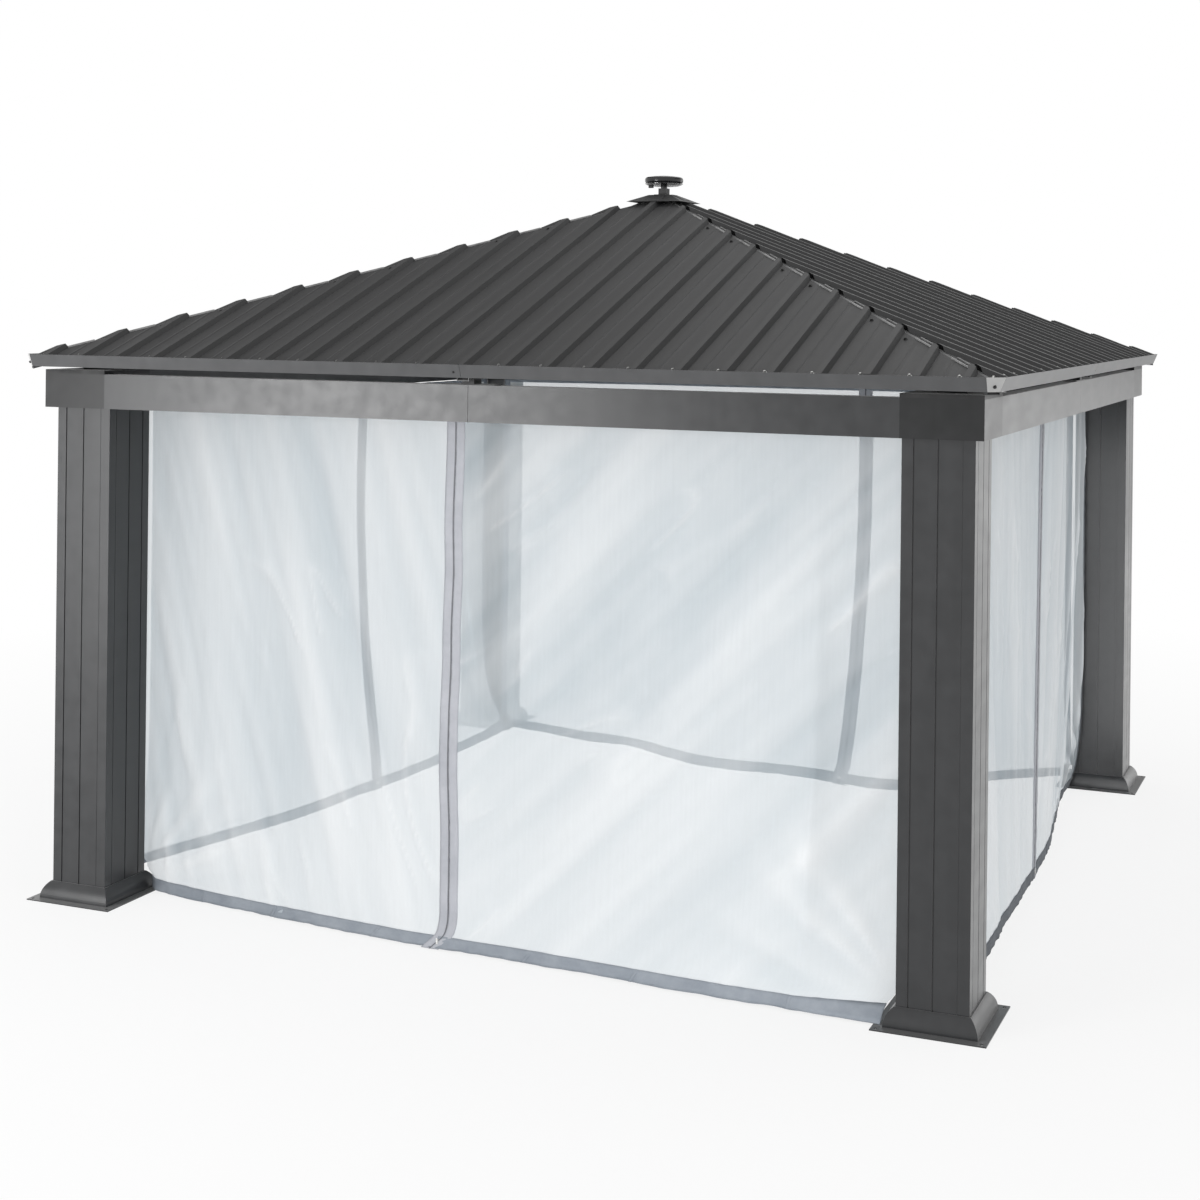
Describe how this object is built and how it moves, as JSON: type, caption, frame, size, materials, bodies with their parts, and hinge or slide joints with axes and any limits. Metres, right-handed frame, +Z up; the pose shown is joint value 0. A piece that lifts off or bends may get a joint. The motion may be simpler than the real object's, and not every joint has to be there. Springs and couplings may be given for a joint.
{
  "type": "metal gazebo",
  "caption": "Square hardtop gazebo with clad corner posts, ribbed hipped metal roof, small crown cap with a disc finial, and mosquito nets closed all round.",
  "frame": {"origin": "on the ground at the centre of the plan", "axes": "+Z up, +X to the right along the front, the front faces -Y"},
  "size_m": [4.009, 4.009, 3.0419],
  "materials": {
    "frame": "satin",
    "roof_sheet": "satin",
    "bracket": "matte",
    "finial": "gloss",
    "net": "matte"
  },
  "bodies": {
    "root": {"post_front_left": "frame", "post_front_right": "frame", "post_back_left": "frame", "post_back_right": "frame", "base_plate_front_left": "frame", "base_plate_front_right": "frame", "base_plate_back_left": "frame", "base_plate_back_right": "frame", "foot_cover_front_left": "frame", "foot_cover_front_right": "frame", "foot_cover_back_left": "frame", "foot_cover_back_right": "frame", "corner_box_front_left": "frame", "corner_box_front_right": "frame", "corner_box_back_left": "frame", "corner_box_back_right": "frame", "beam_front": "frame", "beam_right": "frame", "beam_back": "frame", "beam_left": "frame", "eave_trim_front": "frame", "eave_trim_right": "frame", "eave_trim_back": "frame", "eave_trim_left": "frame", "roof_front": "roof_sheet", "roof_right": "roof_sheet", "roof_back": "roof_sheet", "roof_left": "roof_sheet", "net_front": "net", "net_right": "net", "net_back": "net", "net_left": "net", "corner_brackets": "bracket", "beam_splices": "bracket", "eave_corner_clips": "frame", "hip_rafters": "frame", "mid_rafters": "frame", "purlins": "frame", "crown_hub": "frame", "crown_cap": "frame", "finial_stem": "frame", "finial_disc": "finial", "net_rods": "frame"}
  },
  "joints": []
}
